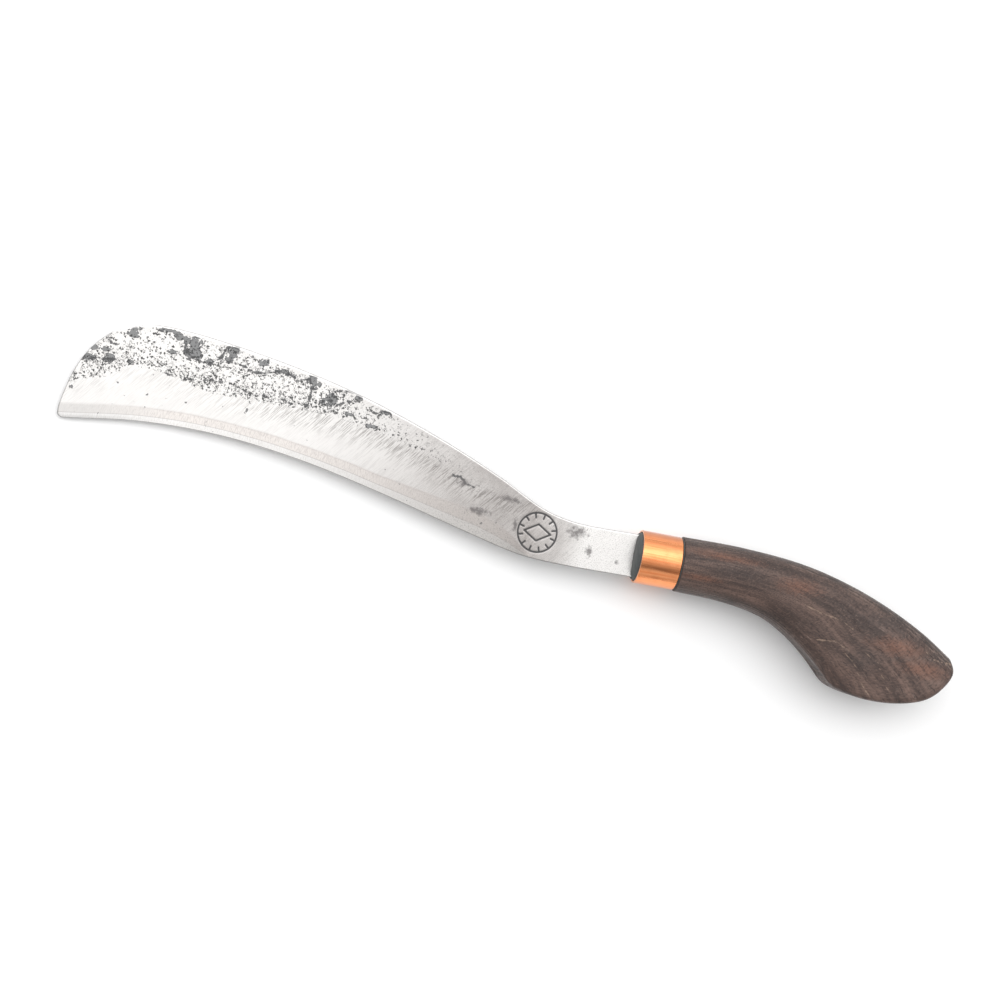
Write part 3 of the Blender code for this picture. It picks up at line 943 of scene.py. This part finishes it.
resin = {
    # the plug's front, from the middle out: radius and how far ahead of the rim it stands
    "dome": ((0, -2.7), (4, -2.68), (7, -2.6), (9, -2.45), (10.5, -2.2), (11.7, -1.75),
             (12.5, -1.0), (12.9, -0.2), (13.0, 0.4)),
    "mouthRadius": 13.0,
    "mouthStep": 2.0,
    "mouthBack": 8.8,
    "slotWidth": 11.9,
    "slotHalf": 2.62,
    "segments": 200,
    "steps": 22,
    "ripple": 0.16,
    "glueLine": (21.7, 22.4),
    "glueRadius": 14.25,
    "glueBore": 13.3,
    "glueRound": 0.3,
    "glueSteps": 4,
    "body": ((0.048, 0.051, 0.051, 1), (0.082, 0.087, 0.087, 1)),
    "smear": ((0.115, 0.12, 0.12), 0.5),
    "dust": ((0.20, 0.20, 0.195), 0.4),
    "smearLines": (0.12, 0.9, 0.5, 0.25, 1.5),
    "dustSpots": (2.4, 0.64, 0.05),
    "roughness": (0.45, 0.65),
    "specular": 0.3,
}


def slotReach(angle):
    # how far from the middle the ricasso's slot ends, at this angle
    y, z = abs(math.sin(angle)), abs(math.cos(angle))
    return min(resin["slotWidth"] / max(y, 1e-6), resin["slotHalf"] / max(z, 1e-6))


def makeMouthResin():
    count = resin["segments"]
    radius = resin["mouthRadius"]

    def ringAt(share, x=None):
        # share runs from the slot's wall, 0, to the plug's outside, 1
        ring = []
        for k in range(count):
            angle = 2 * math.pi * k / count
            inner = slotReach(angle)
            reach = inner + (radius - inner) * share
            y, z = reach * math.sin(angle), reach * math.cos(angle)
            front = readTable(resin["dome"], reach)
            front += noise.noise(Vector((y * 0.35, z * 0.35, 1.7))) * resin["ripple"] * (1 - share)
            ring.append(Vector((front if x is None else x, y, z)))
        return ring

    steps = resin["steps"]
    rings = [ringAt(math.sin(math.pi / 2 * step / steps)) for step in range(steps + 1)]
    rings += [ringAt(1, resin["mouthStep"]), ringAt(1, resin["mouthBack"]),
              ringAt(0, resin["mouthBack"])]
    rings.append(rings[0])
    return loftRings("mouthResin", rings)


def makeGlueLine():
    start, end = resin["glueLine"]
    front, back = turnedCorners(start, end, resin["glueRadius"], resin["glueRound"],
                                resin["glueSteps"])
    profile = [(start, resin["glueBore"]), *front, *back, (end, resin["glueBore"])]
    return turnProfile("shoulderGlueLine", profile, resin["segments"])


def resinMaterial(name, usesField=True):
    material, tree, shader = newMaterial(name)
    if usesField:
        place = readField(tree, "knifePlace", "Vector")
    else:
        coordinates = tree.nodes.new("ShaderNodeTexCoord")
        place = addNode(tree, "ShaderNodeVectorMath",
                        {0: coordinates.outputs["Object"], "Scale": 1 / mm}, operation="SCALE")
    cloud = addCloud(tree, place, 0.7, 5.0)
    smear = addScratches(tree, place, resin["smearLines"])
    dust = addSpecks(tree, place, resin["dustSpots"])
    colour = blendColours(tree, cloud, *resin["body"])
    colour = paint(tree, colour, smear, resin["smear"])
    colour = paint(tree, colour, dust, resin["dust"])
    setShader(tree, shader, Base_Color=colour,
              Roughness=blendValues(tree, cloud, *resin["roughness"]),
              Specular_IOR_Level=resin["specular"], Normal=addBump(tree, cloud, 0.3, 0.0002))
    return material


blackResin = resinMaterial("blackResin")
finishPiece(makeMouthResin(), blackResin, "black_resin", "mouth_resin")
finishPiece(makeGlueLine(), blackResin, "black_resin", "shoulder_resin_ring")
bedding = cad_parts["tang_bedding"]
bedding.data.materials.clear()
bedding.data.materials.append(resinMaterial("beddingResin", usesField=False))
print("resin done")


# grip: carved dark hardwood

grip = {
    "back": ((23.2, 14.8), (55.4, 14.9), (88.2, 12.4), (111.7, 7.5), (135.8, -0.4),
             (160.6, -11.8), (179.0, -23.0)),
    "belly": ((23.2, -14.8), (50.3, -15.8), (71.4, -19.6), (84.0, -25.3), (97.1, -33.5),
              (108.2, -41.7)),
    "butt": ((108.2, -41.7), (113.0, -47.8), (123.4, -51.5), (140.4, -53.0), (157.0, -50.9),
             (168.5, -46.5), (176.7, -38.5), (180.7, -30.6), (179.0, -23.0)),
    "halfThickness": ((0.0, 14.8), (0.3, 13.6), (0.6, 13.4), (0.85, 14.2), (1.0, 13.6)),
    "squareness": ((0.0, 2.0), (0.35, 2.4), (0.8, 2.7), (1.0, 2.7)),
    "buttRound": 3.2,
    "front": 22.45,
    "frontRound": 0.5,
    "frontRadius": 14.8,
    "tenonRadius": 13.0,
    "tenonFront": 9.2,
    "boreRadius": 6.6,
    "boreEnd": 92.0,
    "stations": 220,
    "lines": 72,
    "cornerSteps": 4,
    "buttSteps": 8,
    "carving": 0.14,
    "carvingScale": 0.07,
    "carvingFade": 12,
    "carvingHalf": 14,
    "grainWidth": 36.0,
    "seamReach": 5.0,
    # russet patches, darker clouds and pale seams in the wood: X, Y and size, or points
    "russet": ((148, -22, 38, 11), (87, 0, 28, 10), (45, 8, 46, 5), (33, -5, 24, 4),
               (165, -31, 34, 11)),
    "clouds": ((128, -33, 24, 17), (53, 1, 46, 10), (142, -10, 40, 9)),
    "seams": (((91, -9), (103, -12), (110, -13), (116, -15), (122, -18)),
              ((115, -29), (123, -34), (127, -41), (132, -48), (136, -51)),
              ((128, -28), (136, -32), (140, -39), (144, -45), (149, -49)),
              ((101, -26), (111, -25), (120, -29), (126, -33)),
              ((162, -21), (166, -25), (172, -26), (180, -26))),
}
gripBack = smoothLine(grip["back"])
gripBelly = smoothLine(grip["belly"])
gripButt = smoothLine(grip["butt"])
gripLength = lineLength(grip["back"])


def acrossGrip(line):
    # 0 at the belly, 1 at the back
    return (1 - math.cos(math.pi * line / grip["lines"])) / 2


def gripRing(share, shrink=0.0, flatten=1.0):
    low = along(gripBelly, share)
    high = along(gripBack, share)
    half = readTable(grip["halfThickness"], share) - shrink
    power = readTable(grip["squareness"], share)
    sweep = share ** 3
    near = []
    for k in range(grip["lines"] + 1):
        across = acrossGrip(k)
        chord = gripButt[0].lerp(gripButt[-1], across)
        spot = low.lerp(high, across) + (along(gripButt, across) - chord) * sweep
        swell = max(1 - abs(2 * across - 1) ** power, 0) ** (1 / power)
        near.append((spot.x, spot.y, half * swell * flatten))
    ring = [Vector(p) for p in near]
    ring += [Vector((x, y, -z)) for x, y, z in near[-2:0:-1]]
    return ring


def gripRoundRing(x, radius):
    count = 2 * grip["lines"]
    return [Vector((x, -radius * math.cos(2 * math.pi * k / count),
                    radius * math.sin(2 * math.pi * k / count))) for k in range(count)]


def gripFields(k, spot, share):
    # what the finish reads at one point; the grain follows the grip's curve
    lines, reach = grip["lines"], grip["seamReach"]
    onShowSide = k <= lines
    return {
        "grainAlong": share * gripLength if share > 0 else spot.x - grip["front"],
        "grainAcross": acrossGrip(min(k, 2 * lines - k)) * grip["grainWidth"],
        "russetField": spotField(spot.x, spot.y, grip["russet"], 0),
        "cloudField": spotField(spot.x, spot.y, grip["clouds"], 0),
        "seamGap": seamDistance(spot.x, spot.y, grip["seams"], reach) if onShowSide else reach,
    }


def makeGrip():
    front, size, buttRound = grip["front"], grip["frontRound"], grip["buttRound"]
    rings = [gripRoundRing(grip["boreEnd"], 0.0),
             gripRoundRing(grip["boreEnd"], grip["boreRadius"]),
             gripRoundRing(grip["tenonFront"], grip["boreRadius"]),
             gripRoundRing(grip["tenonFront"], grip["tenonRadius"]),
             gripRoundRing(front, grip["tenonRadius"]),
             gripRoundRing(front, grip["frontRadius"] - size)]
    for angle in quarterTurn(grip["cornerSteps"])[1:]:
        rings.append(gripRoundRing(front + size * (1 - math.cos(angle)),
                                   grip["frontRadius"] - size + size * math.sin(angle)))
    shares = [0.0] * len(rings)
    buttStart = 1 - buttRound / gripLength
    for k in range(1, grip["stations"] + 1):
        share = buttStart * k / grip["stations"]
        ring = gripRing(share)
        for spot in ring:
            carve = noise.noise(spot * grip["carvingScale"]) * grip["carving"]
            carve *= ease(share * grip["carvingFade"])
            spot.z *= 1 - abs(carve) / grip["carvingHalf"]
        rings.append(ring)
        shares.append(share)
    for angle in quarterTurn(grip["buttSteps"])[1:]:
        share = buttStart + (1 - buttStart) * math.sin(angle)
        rings.append(gripRing(share, buttRound * (1 - math.cos(angle))))
        shares.append(share)
    for k in range(1, grip["buttSteps"] + 1):
        rings.append(gripRing(1.0, buttRound, 1 - k / grip["buttSteps"]))
        shares.append(1.0)
    fields = [[gripFields(k, spot, share) for k, spot in enumerate(ring)]
              for ring, share in zip(rings, shares)]
    return loftRings("woodenGrip", rings, fields)


wood = {
    "heartwood": ((0.054, 0.036, 0.031, 1), (0.145, 0.093, 0.076, 1)),
    "russet": ((0.190, 0.086, 0.056), 0.7),
    "cloud": ((0.046, 0.036, 0.034), 0.55),
    "streaks": ((0.036, 0.024, 0.022), 0.42),
    # painted shade towards the back and the belly
    "sides": ((0.036, 0.027, 0.025), 0.68),
    "paleStreaks": ((0.20, 0.145, 0.125), 0.55),
    "growth": ((0.24, 0.175, 0.145), 0.45),
    "growthLines": 32.0,
    "seam": ((0.27, 0.19, 0.14), 0.72),
    "grit": ((0.34, 0.15, 0.08), 0.55),
    "mottleDark": ((0.030, 0.022, 0.020), 0.55),
    "mottlePale": ((0.235, 0.155, 0.125), 0.38),
    "pores": ((0.015, 0.011, 0.011), 0.5),
    "bandLines": (0.07, 0.22, 0.38, 0.26, 0.0),
    "streakLines": (0.05, 0.8, 0.44, 0.2, 0.0),
    "poreLines": (0.11, 2.2, 0.59, 0.05, 0.0),
    "paleLines": (0.07, 1.7, 0.60, 0.06, 0.0),
    "gritSpots": (0.9, 0.685, 0.03),
    "roughness": (0.42, 0.56),
    "specular": 0.3,
}


def woodMaterial():
    material, tree, shader = newMaterial("darkHardwood")
    place = readField(tree, "knifePlace", "Vector")
    depth = addNode(tree, "ShaderNodeSeparateXYZ", [place]).node.outputs["Z"]
    across = readField(tree, "grainAcross")
    straight = addNode(tree, "ShaderNodeCombineXYZ",
                       [readField(tree, "grainAlong"), across,
                        multiply(tree, depth, 0.35)])
    bend = addCloud(tree, place, 0.035, 2.0, "Color")
    bend = addNode(tree, "ShaderNodeVectorMath", [bend, (0.5, 0.5, 0.5)], operation="SUBTRACT")
    bend = addNode(tree, "ShaderNodeVectorMath", [bend, (4.0, 4.0, 2.0)], operation="MULTIPLY")
    grain = addNode(tree, "ShaderNodeVectorMath", [straight, bend], operation="ADD")
    bands = addScratches(tree, grain, wood["bandLines"])
    streaks = addScratches(tree, grain, wood["streakLines"])
    pores = addScratches(tree, grain, wood["poreLines"])
    pale = addScratches(tree, grain, wood["paleLines"])
    rough = addCloud(tree, grain, 0.5, 4.0, Roughness=0.65)
    clumps = addCloud(tree, place, 0.07, 2.0)

    colour = blendColours(tree, bands, *wood["heartwood"])
    russet = threshold(tree, wobble(tree, readField(tree, "russetField"), rough, 1.6), 0.35, 1.3)
    colour = paint(tree, colour, russet, wood["russet"])
    cloud = threshold(tree, wobble(tree, readField(tree, "cloudField"), rough, 1.4), 0.4, 1.3)
    colour = paint(tree, colour, cloud, wood["cloud"])
    colour = paint(tree, colour, streaks, wood["streaks"])
    # painted shade towards the back and the belly, with pale streaks there and in clumps
    acrossShare = calculate(tree, "DIVIDE", across, grip["grainWidth"])
    middle = gapTo(tree, acrossShare, 0.5)
    shadeAndStreakSides = threshold(tree, middle, 0.31, 0.46)
    colour = paint(tree, colour, shadeAndStreakSides, wood["sides"])
    palePlaces = strongest(tree, shadeAndStreakSides, threshold(tree, clumps, 0.52, 0.62))
    pale = multiply(tree, pale, palePlaces)
    colour = paint(tree, colour, pale, wood["paleStreaks"])
    # thin growth lines that run along the back and the belly
    comb = multiply(tree, wobble(tree, acrossShare, rough, 0.03), wood["growthLines"])
    comb = gapTo(tree, calculate(tree, "FRACT", comb), 0.5)
    comb = multiply(tree, threshold(tree, comb, 0.20, 0.06), threshold(tree, middle, 0.385, 0.40))
    comb = multiply(tree, comb, threshold(tree, clumps, 0.40, 0.52))
    colour = paint(tree, colour, comb, wood["growth"])
    seam = threshold(tree, wobble(tree, readField(tree, "seamGap"), rough, -1.6), 0.46, 0.2)
    colour = paint(tree, colour, seam, wood["seam"])
    grit = addSpecks(tree, place, wood["gritSpots"])
    colour = paint(tree, colour, multiply(tree, grit, russet), wood["grit"])
    mottle = addCloud(tree, grain, 1.1, 4.0, Roughness=0.7)
    colour = paint(tree, colour, threshold(tree, mottle, 0.50, 0.36), wood["mottleDark"])
    colour = paint(tree, colour, threshold(tree, mottle, 0.54, 0.70), wood["mottlePale"])
    colour = paint(tree, colour, pores, wood["pores"])
    height = multiply(tree, pores, -1.0)
    height = multiplyAdd(tree, streaks, -0.3, height)
    height = multiplyAdd(tree, seam, -0.5, height)
    setShader(tree, shader, Base_Color=colour,
              Roughness=blendValues(tree, streaks, *wood["roughness"]),
              Specular_IOR_Level=wood["specular"], Normal=addBump(tree, height, 0.4, 0.0003))
    return material


finishPiece(makeGrip(), woodMaterial(), "dark_hardwood", "handle")
print("grip done")
